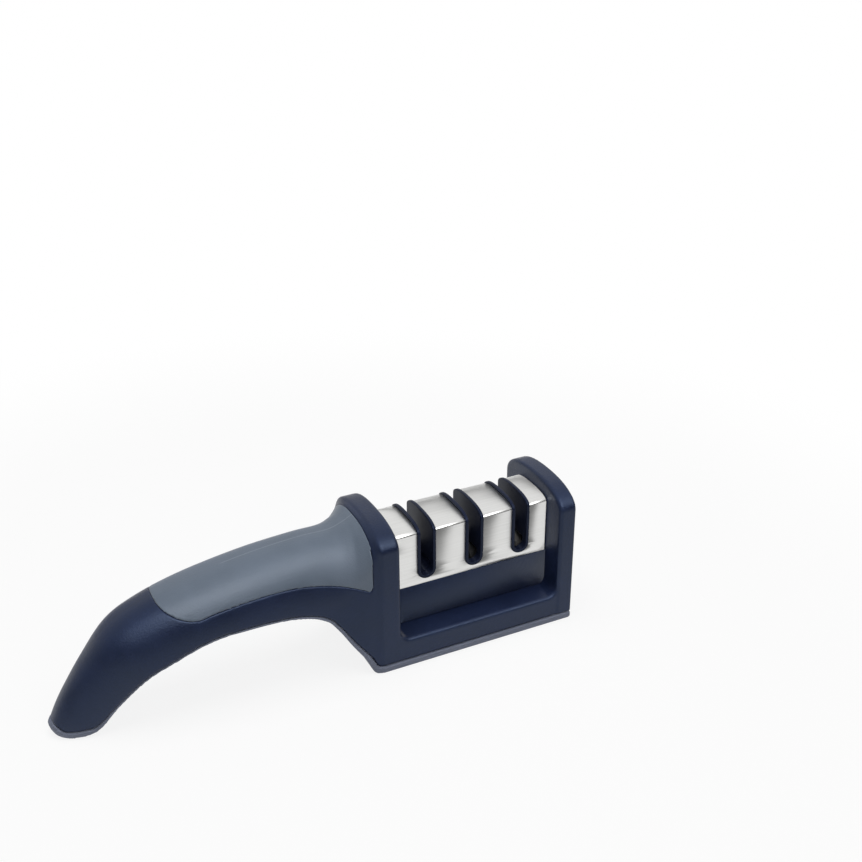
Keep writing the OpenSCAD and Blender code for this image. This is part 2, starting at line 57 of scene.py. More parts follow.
# %% [markdown]
# ## The camera
# The picture looks down at the head from the near side, a little from the handle's end. The
# camera turns round one aim point: its yaw and pitch give the line of sight, and the distance
# sets how strongly the near end grows. Building the three axes by hand keeps the small roll.

# %% Camera
CAMERA_YAW = math.radians(-26.09)
CAMERA_PITCH = math.radians(26.49)
CAMERA_ROLL = math.radians(-0.2)
CAMERA_DISTANCE = 446.1 * MM
CAMERA_AIM = Vector((49.9, 0, 86.2)) * MM
LENS_MM = 50.1
NEAREST_SEEN = 10 * MM

back = Vector((
    math.sin(CAMERA_YAW) * math.cos(CAMERA_PITCH),
    -math.cos(CAMERA_YAW) * math.cos(CAMERA_PITCH),
    math.sin(CAMERA_PITCH),
))
level = Vector((math.cos(CAMERA_YAW), math.sin(CAMERA_YAW), 0))
upright = back.cross(level)
right = level * math.cos(CAMERA_ROLL) + upright * math.sin(CAMERA_ROLL)
up = upright * math.cos(CAMERA_ROLL) - level * math.sin(CAMERA_ROLL)
lens = bpy.data.cameras.new("camera")
lens.lens = LENS_MM
lens.clip_start = NEAREST_SEEN
camera = bpy.data.objects.new("camera", lens)
bpy.context.scene.collection.objects.link(camera)
camera.matrix_world = (
    Matrix.Translation(CAMERA_AIM + back * CAMERA_DISTANCE)
    @ Matrix((right, up, back)).transposed().to_4x4()
)
bpy.context.scene.camera = camera
print("camera at", [round(v, 3) for v in camera.matrix_world.translation])

# %% [markdown]
# ## Shader maths
# A finish mixes noises and masks, and in the node editor that takes a Math node for each plus
# or times. A small class that wraps an output socket and overloads Python's operators writes
# the same tree as short expressions, also with a plain number on the left, as in 1 - mask.

# %% A socket that does arithmetic
class Signal:
    """An output socket. Arithmetic on it adds Math nodes to its tree."""

    def __init__(self, tree, socket):
        self.tree = tree
        self.socket = socket

    def maths(self, operation, *values):
        return self.tree.node("ShaderNodeMath", {"operation": operation}, dict(enumerate(values)))

    def __add__(self, other):
        return self.maths("ADD", self, other)

    def __sub__(self, other):
        return self.maths("SUBTRACT", self, other)

    def __mul__(self, other):
        return self.maths("MULTIPLY", self, other)

    def __rsub__(self, other):
        return self.maths("SUBTRACT", other, self)

    def __abs__(self):
        return self.maths("ABSOLUTE", self)

    __radd__ = __add__
    __rmul__ = __mul__

    def between(self, low, high, first=0.0, last=1.0):
        """Rises smoothly from first to last while this signal goes from low to high."""
        values = {"Value": self, "From Min": low, "From Max": high, "To Min": first, "To Max": last}
        return self.tree.node("ShaderNodeMapRange", {"interpolation_type": "SMOOTHSTEP"}, values)

# %% [markdown]
# ## Node trees
# A world and a material both hold a tree of nodes. One method adds any kind of node: it takes
# the node's type, then its settings, then what goes into its sockets, and gives back its output
# as a signal. The patterns all start from the point on the object, so they stay the same size
# whatever the piece.

# %% A node tree
class Tree:
    """A node tree with one way to add a node."""

    def __init__(self, owner):
        owner.use_nodes = True
        self.nodes = owner.node_tree.nodes
        self.links = owner.node_tree.links

    def plug(self, socket, value):
        if isinstance(value, Signal):
            self.links.new(value.socket, socket)
        else:
            socket.default_value = value

    def node(self, kind, settings=None, inputs=None, output=0):
        made = self.nodes.new(kind)
        for name, value in (settings or {}).items():
            setattr(made, name, value)
        for name, value in (inputs or {}).items():
            self.plug(made.inputs[name], value)
        return Signal(self, made.outputs[output])

    def place(self, stretch=(1, 1, 1)):
        """The point on the object in metres, each direction times its stretch."""
        point = self.node("ShaderNodeTexCoord", output="Object")
        return self.node("ShaderNodeVectorMath", {"operation": "MULTIPLY"}, {0: point, 1: stretch})

    def axes(self):
        """The x, y and z of the point on the object, in millimetres."""
        scaled = self.place((1 / MM, 1 / MM, 1 / MM))
        return [self.node("ShaderNodeSeparateXYZ", None, {0: scaled}, i) for i in range(3)]

    def noise(self, size_mm, detail=2.0, roughness=0.5, stretch=(1, 1, 1)):
        """Cloudy noise from 0 to 1 whose lumps are about size_mm wide."""
        inputs = {
            "Vector": self.place(stretch), "Scale": 1 / (size_mm * MM),
            "Detail": detail, "Roughness": roughness,
        }
        return self.node("ShaderNodeTexNoise", None, inputs)

    def blend(self, factor, first, last):
        """A colour between two colours, each written as numbers or made by nodes."""
        first, last = (c if isinstance(c, Signal) else (*c, 1) for c in (first, last))
        inputs = {0: factor, 6: first, 7: last}
        return self.node("ShaderNodeMix", {"data_type": "RGBA"}, inputs, output=2)

# %% A material
class Finish(Tree):
    """A material: its constants sit on the shader, and what varies is linked in."""

    def __init__(self, name, **constants):
        self.material = bpy.data.materials.new(name)
        super().__init__(self.material)
        self.shader = self.nodes["Principled BSDF"]
        self.set(**constants)

    def set(self, **values):
        """Sets shader sockets; base_color stands for the socket Base Color."""
        for name, value in values.items():
            title = name.replace("_", " ").title().replace("Ior", "IOR")
            self.plug(self.shader.inputs[title], value)

    def relief(self, height, depth_mm):
        """Bumps of the given depth, from a height between 0 and 1."""
        inputs = {"Strength": 1.0, "Distance": depth_mm * MM, "Height": height}
        self.set(normal=self.node("ShaderNodeBump", None, inputs))

# %% [markdown]
# ## The sky
# The object stands in soft studio light, and each kind of ray sees another sky. The camera sees
# plain white, so the background turns white. The light that falls on the plastic comes from a
# dim sky, so the plastic keeps its depth of colour. Reflections see what a studio has: dark low
# down in front, where the camera stands, bright above and behind, and two windows high up in
# front, one for the head and one for the handle. The steel and the soft highlights live on these.

# %% Sky
bpy.context.scene.view_settings.view_transform = "Standard"
SKY_FILL = 0.28
FRONT_EDGE = 0.15
FRONT_GLOSS = (0.20, 0.58, 0.10, 0.85)
BEHIND_GLOSS = (0.05, 0.32, 0.25, 0.95)
WINDOW_EDGE = (0.88, 0.97)
HEAD_WINDOW = ((0.30, -0.55, 0.78), 2.2)
HANDLE_WINDOW = ((-0.15, -0.70, 0.69), 3.6)
world = bpy.data.worlds.new("studio")
bpy.context.scene.world = world
sky = Tree(world)
by_camera = sky.node("ShaderNodeLightPath", output="Is Camera Ray")
by_gloss = sky.node("ShaderNodeLightPath", output="Is Glossy Ray")
towards = sky.node("ShaderNodeTexCoord", output="Generated")
side_way, height = (sky.node("ShaderNodeSeparateXYZ", None, {0: towards}, i) for i in (1, 2))
in_front = side_way.between(FRONT_EDGE, -FRONT_EDGE)
behind = height.between(*BEHIND_GLOSS)
gloss = in_front * (height.between(*FRONT_GLOSS) - behind) + behind
for way, gain in (HEAD_WINDOW, HANDLE_WINDOW):
    inputs = {0: towards, 1: way}
    facing = sky.node("ShaderNodeVectorMath", {"operation": "DOT_PRODUCT"}, inputs, "Value")
    gloss = gloss + facing.between(*WINDOW_EDGE) * gain
seen = by_gloss * (gloss - SKY_FILL) + SKY_FILL
background = sky.nodes["Background"].inputs
sky.plug(background["Strength"], by_camera * (1 - seen) + seen)
sky.plug(background["Color"], (1, 1, 1, 1))
print("the sky has", len(sky.nodes), "nodes")

# %% [markdown]
# ## Floor and lamps
# The floor is white paper. Near the object it still shows a soft shadow, and further out it
# fades to pure white, so that no horizon shows. In reflections it darkens towards the front, as
# a real studio floor does where camera and maker shade it. Two big area lamps light it all, one
# over the head and one in front. Reflections don't see them, because the windows of the sky
# stand for them.

# %% Floor
FLOOR_HALF = 3.0
SHADOW_REACH = 0.18
NEAR_WHITE = 0.86
PAPER_GREY = 0.86
FRONT_SHADE = (-200, -110, 0.2, 1.0)
floor_mesh = bpy.data.meshes.new("floor")
corners = [(x * FLOOR_HALF, y * FLOOR_HALF, 0) for x, y in ((-1, -1), (1, -1), (1, 1), (-1, 1))]
floor_mesh.from_pydata(corners, [], [(0, 1, 2, 3)])
floor = bpy.data.objects.new("floor", floor_mesh)
bpy.context.scene.collection.objects.link(floor)
paper = Finish("white_paper", base_color=(PAPER_GREY, PAPER_GREY, PAPER_GREY, 1), roughness=0.9)
direct = paper.node("ShaderNodeLightPath", output="Is Camera Ray")
mirrored = paper.node("ShaderNodeLightPath", output="Is Glossy Ray")
away = paper.node("ShaderNodeVectorMath", {"operation": "LENGTH"}, {0: paper.place()}, "Value")
white_share = away.between(SHADOW_REACH, 2 * SHADOW_REACH, NEAR_WHITE, 1.0)
shine = direct + mirrored * paper.axes()[1].between(*FRONT_SHADE)
glow = paper.node("ShaderNodeEmission", None, {"Color": shine, "Strength": 1.0})
sheet = Signal(paper, paper.shader.outputs[0])
inputs = {0: (direct + mirrored) * white_share, 1: sheet, 2: glow}
mixed = paper.node("ShaderNodeMixShader", None, inputs)
paper.plug(paper.nodes["Material Output"].inputs["Surface"], mixed)
floor_mesh.materials.append(paper.material)
print("floor of", 2 * FLOOR_HALF, "m")

# %% Lamps
LAMP_AIM = Vector((0.0, 0.0, 0.03))


def lamp(name, position, width, depth, watts):
    """A soft area lamp that looks at the middle of the object."""
    light = bpy.data.lights.new(name, "AREA")
    light.shape = "RECTANGLE"
    light.size = width
    light.size_y = depth
    light.energy = watts
    made = bpy.data.objects.new(name, light)
    bpy.context.scene.collection.objects.link(made)
    made.location = position
    made.rotation_euler = (LAMP_AIM - Vector(position)).to_track_quat("-Z", "Y").to_euler()
    made.visible_glossy = False
    print("lamp", name, "of", watts, "W")


lamp("overhead", (-0.05, 0.0, 1.0), width=0.7, depth=0.6, watts=6.0)
lamp("front", (0.35, -0.75, 0.95), width=0.5, depth=0.4, watts=2.0)

# %% [markdown]
# ## Solids
# Each piece starts as a closed form through rings of points, because a ring can be a section of
# the handle, an outline seen from the side or an outline seen from above. All lengths here are
# in millimetres, and turn into metres in one place.

# %% Solids from rings of points
def solid(name, points, faces):
    """An object from points in millimetres, with its faces turned outward."""
    mesh = bpy.data.meshes.new(name)
    mesh.from_pydata([tuple(c * MM for c in p) for p in points], [], faces)
    form = bmesh.new()
    form.from_mesh(mesh)
    bmesh.ops.recalc_face_normals(form, faces=form.faces)
    form.to_mesh(mesh)
    form.free()
    thing = bpy.data.objects.new(name, mesh)
    bpy.context.scene.collection.objects.link(thing)
    return thing


def loft(name, rings):
    """A closed solid through rings that have equally many points."""
    count = len(rings[0])
    faces = [tuple(range(count))[::-1], tuple(range(count * (len(rings) - 1), count * len(rings)))]
    for i in range(len(rings) - 1):
        for j in range(count):
            k = (j + 1) % count
            faces.append((i * count + j, i * count + k, (i + 1) * count + k, (i + 1) * count + j))
    return solid(name, [p for ring in rings for p in ring], faces)


def along(name, outline, x0, x1):
    """A (y, z) outline pulled along the object."""
    return loft(name, [[(x, y, z) for y, z in outline] for x in (x0, x1)])


def across(name, outline, y0, y1):
    """An (x, z) outline pulled across the object."""
    return loft(name, [[(x, y, z) for x, z in outline] for y in (y0, y1)])


def block(name, low, high):
    """A box from its lowest to its highest corner."""
    outline = [(low[1], low[2]), (high[1], low[2]), (high[1], high[2]), (low[1], high[2])]
    return along(name, outline, low[0], high[0])

# %% [markdown]
# ## Joining, cutting and softening
# A moulded piece is drawn the way its mould is made: plain solids are joined and cut with
# boolean modifiers, and then every edge is softened at once. The softening is a voxel remesh,
# which gives one even skin, and a few passes of smoothing, which round that skin as far as a
# real mould's edges. Flat thin pieces get a bevel instead, which keeps their faces flat.

# %% Joining and cutting
def settle(thing):
    """Turns what the modifiers make into the object's own mesh."""
    shown = thing.evaluated_get(bpy.context.evaluated_depsgraph_get())
    mesh = bpy.data.meshes.new_from_object(shown)
    thing.modifiers.clear()
    thing.data = mesh
    return thing


def twin(thing, name):
    """A copy of an object with a mesh of its own."""
    copy = bpy.data.objects.new(name, thing.data.copy())
    bpy.context.scene.collection.objects.link(copy)
    return copy


def combine(thing, operation, *tools):
    """Joins, cuts or intersects with each tool, which is used up."""
    for tool in tools:
        step = thing.modifiers.new(operation, "BOOLEAN")
        step.operation = operation
        step.solver = "EXACT"
        step.object = tool
        settle(thing)
        bpy.data.objects.remove(tool)
    return thing

# %% Softening and bevelling
def shade_smooth(thing):
    thing.data.polygons.foreach_set("use_smooth", [True] * len(thing.data.polygons))
    print(thing.name, "has", len(thing.data.polygons), "faces")
    return thing


def soften(thing, voxel, passes, keep):
    """Rounds every edge; keep is the share of the faces that stays."""
    remesh = thing.modifiers.new("skin", "REMESH")
    remesh.mode = "VOXEL"
    remesh.voxel_size = voxel * MM
    remesh.use_smooth_shade = True
    smooth = thing.modifiers.new("round", "SMOOTH")
    smooth.factor = 0.5
    smooth.iterations = passes
    thin = thing.modifiers.new("thin", "DECIMATE")
    thin.ratio = keep
    return shade_smooth(settle(thing))


def crisp(thing, width, segments, angle):
    """Bevels each edge sharper than the angle and keeps flat faces flat."""
    bevel = thing.modifiers.new("edge", "BEVEL")
    bevel.width = width * MM
    bevel.segments = segments
    bevel.limit_method = "ANGLE"
    bevel.angle_limit = math.radians(angle)
    bevel.harden_normals = True
    return shade_smooth(settle(thing))

# %% [markdown]
# ## Handing a piece over
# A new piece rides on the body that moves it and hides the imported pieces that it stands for.
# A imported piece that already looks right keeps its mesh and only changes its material.

# %% Handing over
def dress(thing, finish, node):
    """Gives a new piece its finish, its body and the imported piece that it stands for."""
    thing.data.materials.clear()
    thing.data.materials.append(finish.material)
    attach(thing, "housing")
    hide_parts(node)
    print(thing.name, "in", finish.material.name, "stands for", node)


def paint(finish, *nodes):
    """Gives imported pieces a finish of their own."""
    for name in nodes:
        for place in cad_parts[name].material_slots:
            place.material = finish.material
    print(finish.material.name, "on", ", ".join(nodes))

# %% [markdown]
# ## Real sizes
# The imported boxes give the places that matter: where the handle starts, where the window
# between the two end plates opens, how wide the steel is and where the slots lie. What a box
# can't tell, such as the thickness of a plate, has a name and its real value here.

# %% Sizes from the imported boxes, in millimetres
def corners_mm(node):
    """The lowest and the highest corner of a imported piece."""
    low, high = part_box(node)
    return np.array(low) / MM, np.array(high) / MM


PLAY = 0.1
shell_low, shell_high = corners_mm("body_shell")
cover_low, cover_high = corners_mm("bottom_cover")
steel_low, steel_high = corners_mm("steel_cover")
block_low, block_high = corners_mm("slot_block")
wheel_low, wheel_high = corners_mm("diamond_wheel_near")
partner_low = corners_mm("diamond_wheel_far")[0]
tip_x = shell_low[0]
end_x = shell_high[0]
FAR_BULGE = 0.3
half_w = shell_high[1] - FAR_BULGE
cover_half = cover_high[1]
near_top = shell_high[2]
base_z = cover_low[2]
window_x0 = steel_low[0] - PLAY
window_x1 = steel_high[0] + PLAY
middle_slot = (wheel_high[0] + partner_low[0]) / 2
slot_pitch = corners_mm("ceramic_wheel_near")[1][0] - wheel_high[0]
slot_places = [middle_slot + i * slot_pitch for i in (-1, 0, 1)]
axle_z = (wheel_low[2] + wheel_high[2]) / 2
wheel_r = (wheel_high[2] - wheel_low[2]) / 2

NEAR_PLATE_T = 8.0
FAR_TOP = 58.5
NEAR_CROWN = 8.0
FAR_CROWN = 8.5
COVER_T = 2.4
LEDGE_TOP = 12.5
LEDGE_FALL = 0.5
WINDOW_R = 4.0
PLATE_EDGE = 1.3
END_EDGE = 0.3
WALL = 2.0
GRIP_T = 2.5
head_x = window_x0 - NEAR_PLATE_T
handle_l = head_x - tip_x
parting_z = base_z + COVER_T
print("slots at", [round(x, 1) for x in slot_places])
print("head from", round(head_x, 1), "to", round(end_x, 1))

# %% [markdown]
# ## The arched handle
# The handle is a chain of slanted sections. Each has a flat foot, nearly straight sides and a
# round top, and each is told by its lower point, its upper point and its half width, all as
# shares of the handle's length, its height and the housing's half width. A smooth curve through
# the rows gives as many sections in between as the surface needs. Lofting suits a form that
# changes so steadily, and one list then also serves the grip and the cover.

# %% Sections of the handle
# Lower point, upper point, half width, rounded share of the height, share of the cover's edge
handle_shares = [
    (0.01, 0.03, 0.002, 0.06, 0.06, 0.95, 1.00),
    (0.02, 0.01, 0.00, 0.07, 0.16, 0.95, 1.00),
    (0.05, 0.00, 0.01, 0.10, 0.28, 0.95, 1.00),
    (0.10, 0.01, 0.03, 0.18, 0.38, 0.95, 0.90),
    (0.14, 0.05, 0.06, 0.28, 0.44, 0.95, 0.55),
    (0.20, 0.19, 0.12, 0.45, 0.53, 0.95, 0.30),
    (0.28, 0.34, 0.20, 0.64, 0.64, 0.95, 0.25),
    (0.36, 0.42, 0.29, 0.74, 0.69, 0.95, 0.25),
    (0.48, 0.51, 0.43, 0.82, 0.74, 0.95, 0.30),
    (0.62, 0.53, 0.63, 0.89, 0.76, 0.95, 0.30),
    (0.75, 0.51, 0.80, 0.92, 0.77, 0.95, 0.35),
    (0.83, 0.45, 0.90, 0.92, 0.79, 0.80, 0.45),
    (0.87, 0.36, 0.95, 0.95, 0.82, 0.60, 0.50),
    (0.91, 0.23, 0.97, 0.97, 0.87, 0.40, 0.60),
    (0.95, 0.11, 0.99, 0.99, 0.93, 0.25, 0.80),
]
FOOT_EASE = 0.5
NECK_EASE = 3.0
NECK_FOOT_SHARE = 0.957
NEAR_EDGE = 0.9
near_h = near_top - base_z
crown_share = NEAR_CROWN / near_h


def curve(rows, steps):
    """Points on a smooth curve through the rows, with the given steps to each gap."""
    rows = np.array(rows, float)
    last = len(rows) - 1
    made = []
    for i in range(last):
        a, b, c, d = rows[max(i - 1, 0)], rows[i], rows[i + 1], rows[min(i + 2, last)]
        for t in np.arange(steps) / steps:
            bend = (2 * a - 5 * b + 4 * c - d) * t ** 2 + (3 * b - a - 3 * c + d) * t ** 3
            made.append((2 * b + (c - a) * t + bend) / 2)
    return np.array(made + [rows[last]])


def side_point(x_share, z_share):
    """A point in side view from its shares of the handle's length and height."""
    return tip_x + x_share * handle_l, base_z + z_share * near_h


sections = [
    (*side_point(a, b), *side_point(c, d), w * half_w, crown, edge * COVER_T)
    for a, b, c, d, w, crown, edge in handle_shares
]
neck_half = NECK_FOOT_SHARE * half_w
neck_low = (head_x - NECK_EASE, base_z + FOOT_EASE)
sections.append((*neck_low, head_x, near_top - FOOT_EASE, neck_half, crown_share, COVER_T))
plate_low = (head_x + FOOT_EASE, base_z)
sections.append((*plate_low, head_x + NEAR_EDGE, near_top, half_w, crown_share, COVER_T))
LOFT_STEPS = 6
handle_rows = curve(sections, LOFT_STEPS)
print("handle has", len(handle_rows), "sections over", round(handle_l, 1), "mm")

# %% [markdown]
# ## One section as a ring
# Half of a section is a flat foot, a straight wall and a quarter of a superellipse, which is a
# circle pulled towards its corner. Its mirror image closes the ring. Every ring has the same
# number of points, so the loft can join each point to its neighbour in the next ring.

# %% One section as a ring of points
SIDE_POWER = 2.4
TOP_POWER = 2.05
FOOT_STEPS = 10
WALL_STEPS = 8
TURN_STEPS = 20
LIP_START = 0.3


def dome(crown):
    """A ring with half width 1 and height 1: flat foot, straight walls, round top."""
    foot = [(y, 0.0) for y in np.linspace(0, 1, FOOT_STEPS + 1)]
    wall = [(1.0, z) for z in np.linspace(0, 1 - crown, WALL_STEPS + 1)[1:]]
    angles = np.linspace(0, math.pi / 2, TURN_STEPS + 1)[1:]
    sides = [max(math.cos(a), 0) ** (2 / SIDE_POWER) for a in angles]
    tops = [1 - crown + crown * math.sin(a) ** (2 / TOP_POWER) for a in angles]
    half = foot + wall + list(zip(sides, tops))
    return half + [(-y, z) for y, z in half[-2:0:-1]]


def section(row, inset=0.0, lip=0.0, drop=0.0):
    """The ring of one section, drawn in by inset, widened by lip, lengthened below by drop."""
    low = np.array((row[0], row[1]))
    rise = np.array((row[2], row[3])) - low
    length = np.linalg.norm(rise)
    edge_share = max(0.0, (row[6] / COVER_T - LIP_START) / (1 - LIP_START))
    half = row[4] - inset + lip * edge_share
    first, last = -drop / length, (length - inset) / length
    ring = []
    for y, share in dome(row[5]):
        x, z = low + rise * (first + (last - first) * share)
        ring.append((x, y * half, z))
    return ring


def plate_ring(x, ease):
    """The ring of the far plate, its outline drawn in by ease."""
    half = half_w + FAR_BULGE - ease
    rise = FAR_TOP - ease - parting_z
    shares = dome(FAR_CROWN / (FAR_TOP - parting_z))
    return [(x, y * half, parting_z + z * rise) for y, z in shares]


print("a section has", len(dome(crown_share)), "points")

# %% Rounded plate edges and the whole handle
EDGE_STEPS = 5


def rounded(x0, x1, radius):
    """Places and easings that round an edge at x1 as the plate goes from x0 to x1."""
    sign = 1 if x1 > x0 else -1
    angles = np.linspace(0, math.pi / 2, EDGE_STEPS + 1)
    return [(x1 - sign * radius * (1 - math.sin(a)), radius * (1 - math.cos(a))) for a in angles]


def handle_form(name, lip=0.0):
    """The whole handle with the near plate, widened by lip where the cover's edge shows."""
    rings = [section(row, 0, lip) for row in handle_rows]
    for x, ease in rounded(head_x, window_x0, PLATE_EDGE):
        plate_row = (x, base_z, x, near_top - ease, half_w - ease, crown_share, COVER_T)
        rings.append(section(plate_row, 0, lip))
    return loft(name, rings)

# %% [markdown]
# ## Where the pieces meet
# Two lines in side view split the handle into its mouldings. The grip's outline runs along the
# side and over the top. The parting line follows the handle's underside at the thickness of
# the cover's visible edge, which is full at the tip and the head and thin along the arch.

# %% Grip outline and parting line
grip_shares = [
    (0.985, 1.100), (0.985, 0.900), (0.980, 0.750), (0.980, 0.650), (0.970, 0.610),
    (0.950, 0.625), (0.880, 0.670), (0.780, 0.710), (0.690, 0.720), (0.600, 0.710),
    (0.500, 0.685), (0.450, 0.665), (0.410, 0.680), (0.370, 0.720), (0.345, 0.770),
    (0.340, 0.850), (0.340, 1.100),
]
GRIP_LINE_STEPS = 5
grip_outline = [side_point(x, z) for x, z in curve(grip_shares, GRIP_LINE_STEPS)]
HANDLE_SCREW_SHARE = 0.623
OVERRUN = 3.0
SEAM = 0.25
LINE_FIRST_ROW = 1.5
handle_screw_x = tip_x + HANDLE_SCREW_SHARE * handle_l
cover_x0 = head_x - NEAR_EDGE


def parting(thickness, shift=0.0):
    """The underside's line moved inward by each section's thickness."""
    low = handle_rows[:, :2]
    line = []
    for i in range(int(LINE_FIRST_ROW * LOFT_STEPS), len(low) - 1):
        run = low[i + 1] - low[i - 1]
        inward = np.array((-run[1], run[0])) / np.linalg.norm(run)
        x, z = low[i] + (thickness[i] + shift) * inward
        if x < handle_screw_x or z > parting_z + 2 * SEAM:
            line.append((x, z))
    return line


def below(line, shift=0.0):
    """The (x, z) outline of all below a parting line, which rises at 45 degrees round the tip."""
    level_z = parting_z + shift
    before_x = tip_x - OVERRUN
    beyond_x = end_x + OVERRUN
    start = [(before_x, line[0][1] + line[0][0] - before_x)]
    end = [(cover_x0, level_z), (beyond_x, level_z), (beyond_x, -OVERRUN), (before_x, -OVERRUN)]
    return start + line + end


edge_line = parting(handle_rows[:, 6])
housing_line = parting(handle_rows[:, 6], SEAM)
panel_line = parting(np.full(len(handle_rows), COVER_T))
reach = half_w + OVERRUN
print("grip outline of", len(grip_outline), "points, parting line of", len(edge_line))

# %% [markdown]
# ## The housing
# One moulding holds the handle, both end plates, the ledges beside the steel and the wall that
# carries it. It starts as four plain solids that overlap: the handle with the near plate, the
# far plate, the ledges and the carrier between them. A separate round corner sits at each end
# of a ledge, because the window's lower corners are the softest edges of the real thing.

# %% Forms of the housing
CORE_HALF = 10.2
PLATE_T = 2.0
BED_FIRST_ROW = 3
LEDGE_STEPS = 6
CORNER_STEPS = 8


def ledge_outline():
    """The (y, z) outline of both ledges, which fall a little towards their rounded rims."""
    lip = LEDGE_TOP - LEDGE_FALL
    turn = [
        (half_w - PLATE_EDGE * (1 - math.cos(a)), lip - PLATE_EDGE * (1 - math.sin(a)))
        for a in np.linspace(0, math.pi / 2, LEDGE_STEPS + 1)
    ]
    half = [(half_w, parting_z)] + turn + [(steel_high[1], LEDGE_TOP)]
    return half + [(-y, z) for y, z in half[::-1]]


def window_corner(name, x, sign, side):
    """The concave corner where a ledge meets a plate, its mouth rounded outward."""
    lip = LEDGE_TOP - LEDGE_FALL
    rings = []
    for y, ease in [(steel_high[1] - OVERRUN, 0.0)] + rounded(steel_high[1], half_w, PLATE_EDGE):
        angles = np.linspace(-math.pi / 2, -math.pi, CORNER_STEPS + 1)
        r = WINDOW_R + ease
        arc = [(WINDOW_R + r * math.cos(a), WINDOW_R + r * math.sin(a)) for a in angles]
        outline = [(-OVERRUN, -OVERRUN), (WINDOW_R, -OVERRUN)] + arc + [(-OVERRUN, WINDOW_R)]
        rings.append([(x + sign * px, side * y, lip + pz) for px, pz in outline])
    return loft(name, rings)


def grip_bed(name):
    """The space of the inlay: inside its outline, down to its underside."""
    bed = across(name, grip_outline, -reach, reach)
    core_rows = handle_rows[BED_FIRST_ROW * LOFT_STEPS:]
    core = loft("core", [section(row, GRIP_T) for row in core_rows])
    return combine(bed, "DIFFERENCE", core)

# %% Housing joined
housing = handle_form("housing")
inner_edge = rounded(end_x, window_x1, PLATE_EDGE)[::-1]
far_rings = [plate_ring(x, ease) for x, ease in inner_edge + rounded(window_x1, end_x, END_EDGE)]
core_x0 = window_x0 - OVERRUN / 2
core_x1 = window_x1 + OVERRUN / 2
core_high = (core_x1, CORE_HALF, block_low[2] - PLATE_T)
parts = [
    loft("far_plate", far_rings),
    along("ledges", ledge_outline(), core_x0, core_x1),
    block("carrier", (core_x0, -CORE_HALF, parting_z), core_high),
]
for side in (-1, 1):
    parts.append(window_corner("corner", window_x0, 1, side))
    parts.append(window_corner("corner", window_x1, -1, side))
combine(housing, "UNION", *parts)
print("housing joined:", len(housing.data.polygons), "faces")

# %% [markdown]
# ## Hollows of the housing
# A moulding has even walls, so everything thick is cored from below: the handle, both plates,
# the ledges and the carrier. The block's room is cut from above, and the grip's bed from the
# handle's back. Only then is the whole thing softened, so that inner edges turn round as well.

# %% Housing hollowed and softened
INNER_WALL_T = 1.6
WEB_T = 2.0
LEDGE_T = 2.2
HOLLOW_ROWS = (5, 13)
foot_half = steel_high[1] - INNER_WALL_T
web_z0 = block_low[2] - PLATE_T - WEB_T
web_half = CORE_HALF - WALL
under_half = half_w - WALL
under_z = LEDGE_TOP - LEDGE_FALL - LEDGE_T
core_half = half_w - 2 * WALL
near_core_low = (head_x + WALL, -core_half, 0)
near_core_high = (window_x0 - WALL, core_half, near_top - NEAR_CROWN - WALL)
far_core_low = (window_x1 + WALL, -core_half, 0)
far_core_high = (end_x - WALL, core_half, FAR_TOP - FAR_CROWN - WALL)
hollow_rows = handle_rows[HOLLOW_ROWS[0] * LOFT_STEPS:HOLLOW_ROWS[1] * LOFT_STEPS + 1]
bed = grip_bed("grip_bed")
combine(
    housing, "DIFFERENCE",
    across("underside", below(housing_line, SEAM), -reach, reach),
    loft("hollow", [section(row, GRIP_T + WALL, 0, OVERRUN) for row in hollow_rows]),
    block("under_web", (window_x0, -web_half, 0), (window_x1, web_half, web_z0)),
    block("block_room", (window_x0, -foot_half, web_z0 + WEB_T), (window_x1, foot_half, near_top)),
    block("under_ledges", (window_x0, -under_half, 0), (window_x1, under_half, under_z)),
    block("near_core", near_core_low, near_core_high),
    block("far_core", far_core_low, far_core_high),
    twin(bed, "bed_copy"),
)
print("housing cut:", len(housing.data.polygons), "faces")
soften(housing, voxel=0.4, passes=5, keep=0.5)

# %% [markdown]
# ## The wall under the steel
# Between the ledges stands a flat wall that carries the steel. It meets the ledges in a sharp
# dark crease, which a voxel skin would fill, so the wall is a thin piece of its own with narrow
# bevels. It stands a hair above the ledge, and its ends reach into the plates.

# %% The wall's skin
CREASE = 0.2
skin_low = (window_x0 - WALL / 2, -steel_high[1], LEDGE_TOP + CREASE)
skin_high = (window_x1 + WALL / 2, steel_high[1], steel_low[2] - PLAY)
wall_skin = block("wall_skin", skin_low, skin_high)
room_low = (window_x0 - OVERRUN, -foot_half, 0)
room_high = (window_x1 + OVERRUN, foot_half, near_top)
combine(wall_skin, "DIFFERENCE", block("skin_room", room_low, room_high))
crisp(wall_skin, width=0.12, segments=3, angle=30)

# %% [markdown]
# ## Navy plastic
# The housing is a dark blue plastic from a mould with a fine eroded grain. The grain breaks up
# highlights into small sparks, so its bump mixes lumps of two sizes. Colour and roughness drift
# a little over the piece, as on anything that has been held. The base colour stays very dark,
# because the bluish sheen adds light. Along the crest runs the fine line where the mould's two
# halves met. Its dark colour is painted shade, standing for a groove that the mesh doesn't have.
# The housing is kept out of mirror reflections, or its dark end plate would fill the steel.

# %% A moulded plastic and its mould line
DRIFT_MM = 14
MOULD_LINE = 0.14
LINE_FADE = 2
LINE_RISE = (15, 20)


